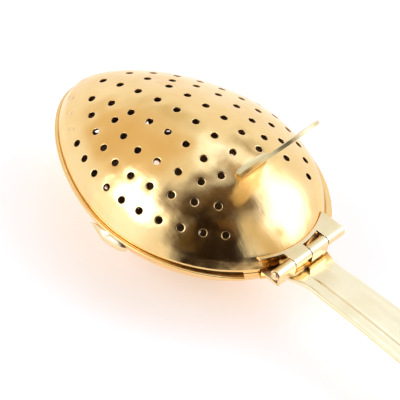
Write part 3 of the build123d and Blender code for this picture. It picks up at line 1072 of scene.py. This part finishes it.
def add_card(tree, ray, under, azimuth, elevation, wide, high, soft, colour):
    """Lays a soft-edged card of light or shade, sizes in degrees, over what is there."""
    ahead = direction(azimuth, elevation)
    right = direction(azimuth + 90, 0)
    above = right.cross(ahead) * -1
    if above.z < 0:
        above = -above
    forward = dot_with(tree, ray, ahead)
    least = 0.02            # directions square to the card, or behind it, are left out
    safe = math_node(tree, "MAXIMUM", forward, least)
    mask = None
    for axis, half in ((right, wide), (above, high)):
        offset = math_node(tree, "DIVIDE", dot_with(tree, ray, axis), safe)
        degrees = math_node(tree, "MULTIPLY", math_node(tree, "ARCTANGENT", offset), 180 / math.pi)
        size = math_node(tree, "ABSOLUTE", degrees)
        part = soft_edge(tree, size, half - soft, half + soft)
        mask = part if mask is None else math_node(tree, "MULTIPLY", mask, part)
    mask = math_node(tree, "MULTIPLY", mask, math_node(tree, "GREATER_THAN", forward, least))
    mix = tree.nodes.new("ShaderNodeMix")
    mix.data_type = "RGBA"
    tree.links.new(mask, mix.inputs["Factor"])
    tree.links.new(under, mix.inputs[6])
    mix.inputs[7].default_value = (*colour, 1)
    return mix.outputs[2]


# azimuth, elevation, half width, half height and softness in degrees, then the light's colour
CARDS = (
    (-164, 66, 11, 13, 5, (1.3, 1.65, 2.4)),    # pale highlight of the tent
    (-85, 46, 20, 25, 12, (0.80, 0.71, 0.54)),  # warm wall on the tip's side
    (-127, 38, 10, 10, 8, (0.75, 0.75, 0.70)),
    (-174, 38, 7, 8, 6, (0.50, 0.48, 0.42)),
    (97, 40, 12, 26, 10, (0.70, 0.66, 0.54)),   # warm edge beside the large soft box
    (174, 66, 7, 9, 6, (0.50, 0.44, 0.34)),
    (68, 80, 32, 12, 8, (0.12, 0.08, 0.045)),   # brown top of the opening
    (143, 36, 23, 18, 11, (2.7, 3.2, 4.8)),     # large soft box on the handle's side
    (117, 40, 5, 6, 6, (0.8, 0.72, 0.56)),      # a fold in it
    (-30, 3, 22, 24, 8, (1.22, 1.42, 1.85)),    # pale streak under the smaller soft box
    (-33, 41, 16, 12, 6, (3.8, 4.3, 6.2)),      # smaller soft box on the near tip side
    (40, 15, 28, 48, 8, (0.018, 0.011, 0.007)),     # the dark opening behind the camera
    (44, 65, 16, 12, 6, (0.018, 0.011, 0.007)),     # its darkest part, higher up
    (80, 2, 13, 20, 8, (0.03, 0.02, 0.01)),         # its side towards the handle
    (19, 36, 5, 22, 6, (0.11, 0.078, 0.042)),       # and brown patches in it
    (64, 62, 5, 6, 5, (0.17, 0.10, 0.04)),
)
LEVEL_LIGHT = (1.0, 1.12, 1.38)     # the tent's light from the sides and below
TOP_LIGHT = (0.95, 1.10, 1.35)
PLAIN_BACKGROUND = (1.0, 0.99, 0.98)


def make_world():
    """A tent of light with the cards in it, and a plain background behind the spoon."""
    world = bpy.data.worlds.new("studio")
    scene.world = world
    world.use_nodes = True
    tree = world.node_tree
    background = tree.nodes["Background"]
    ray = tree.nodes.new("ShaderNodeTexCoord").outputs["Generated"]
    height = dot_with(tree, ray, (0, 0, 1))
    ramp = tree.nodes.new("ShaderNodeValToRGB")
    ramp.color_ramp.elements[0].position = 0.0
    ramp.color_ramp.elements[0].color = (*LEVEL_LIGHT, 1)
    ramp.color_ramp.elements[1].position = 1.0
    ramp.color_ramp.elements[1].color = (*TOP_LIGHT, 1)
    tree.links.new(height, ramp.inputs["Fac"])
    light = ramp.outputs["Color"]
    for card in CARDS:
        light = add_card(tree, ray, light, *card)
    tree.links.new(light, background.inputs["Color"])
    plain = tree.nodes.new("ShaderNodeBackground")
    plain.inputs["Color"].default_value = (*PLAIN_BACKGROUND, 1)
    seen = tree.nodes.new("ShaderNodeLightPath").outputs["Is Camera Ray"]
    choose = tree.nodes.new("ShaderNodeMixShader")
    tree.links.new(seen, choose.inputs[0])
    tree.links.new(background.outputs[0], choose.inputs[1])
    tree.links.new(plain.outputs[0], choose.inputs[2])
    tree.links.new(choose.outputs[0], tree.nodes["World Output"].inputs["Surface"])


TABLE_MIDDLE = (0.040, 0.062)   # metres
TABLE_RADIUS = 0.119
TABLE_SIDES = 96
TABLE_TINTS = ((0.83, 0.76, 0.68), (0.85, 0.785, 0.71))
TABLE_GLOW = (1.06, 1.0, 0.88)  # light that comes through the table from below
TABLE_GLOW_STRENGTH = 0.34


def make_floor():
    """A pale round table under the spoon."""
    rim = []
    for step in range(TABLE_SIDES):
        angle = 2 * math.pi * step / TABLE_SIDES
        x = TABLE_MIDDLE[0] + TABLE_RADIUS * math.cos(angle)
        y = TABLE_MIDDLE[1] + TABLE_RADIUS * math.sin(angle)
        rim.append((x, y, 0))
    mesh = bpy.data.meshes.new("floor")
    mesh.from_pydata(rim, [], [tuple(range(TABLE_SIDES))])
    floor = bpy.data.objects.new("floor", mesh)
    scene.collection.objects.link(floor)
    material = bpy.data.materials.new("floor_paper")
    material.use_nodes = True
    tree = material.node_tree
    shader = tree.nodes["Principled BSDF"]
    shader.inputs["Roughness"].default_value = 0.7
    shader.inputs["Emission Color"].default_value = (*TABLE_GLOW, 1)
    shader.inputs["Emission Strength"].default_value = TABLE_GLOW_STRENGTH
    grain = add_node(tree, "ShaderNodeTexNoise", Scale=60.0, Detail=3.0)
    tint = add_node(tree, "ShaderNodeValToRGB")
    for stop, colour in zip(tint.color_ramp.elements, TABLE_TINTS):
        stop.color = (*colour, 1)
    tree.links.new(grain.outputs["Fac"], tint.inputs["Fac"])
    tree.links.new(tint.outputs["Color"], shader.inputs["Base Color"])
    mesh.materials.append(material)


# ---- camera ----------------------------------------------------------------------------------
CAMERA_AZIMUTH = 35.337         # degrees, as in direction()
CAMERA_ELEVATION = 45.403
CAMERA_ROLL = 10.0
CAMERA_DISTANCE = 1015.0        # millimetres, like the two shifts of the whole camera
CAMERA_RIGHT = 0.598
CAMERA_UP = -3.534
CAMERA_LENS = 567.45            # for a sensor of this width
CAMERA_SENSOR = 36.0


def make_camera():
    back = direction(CAMERA_AZIMUTH, CAMERA_ELEVATION)
    level = direction(CAMERA_AZIMUTH + 90, 0)
    upright = back.cross(level)
    roll = math.radians(CAMERA_ROLL)
    right = level * math.cos(roll) + upright * math.sin(roll)
    up = upright * math.cos(roll) - level * math.sin(roll)
    data = bpy.data.cameras.new("camera")
    data.lens = CAMERA_LENS
    data.sensor_width = CAMERA_SENSOR
    data.clip_end = 50.0
    camera = bpy.data.objects.new("camera", data)
    place = (right * CAMERA_RIGHT + up * CAMERA_UP + back * CAMERA_DISTANCE) * MM
    place.z += FLANGE_TOP
    camera.matrix_world = Matrix.Translation(place) @ Matrix((right, up, back)).transposed().to_4x4()
    scene.collection.objects.link(camera)
    scene.camera = camera


# ---- build -----------------------------------------------------------------------------------
make_camera()
make_world()
make_floor()
make_lid()
make_bowl()
make_hinge_leaves()
make_pin()
make_tab()
make_handle()
make_catch()

scene.view_settings.view_transform = "Standard"
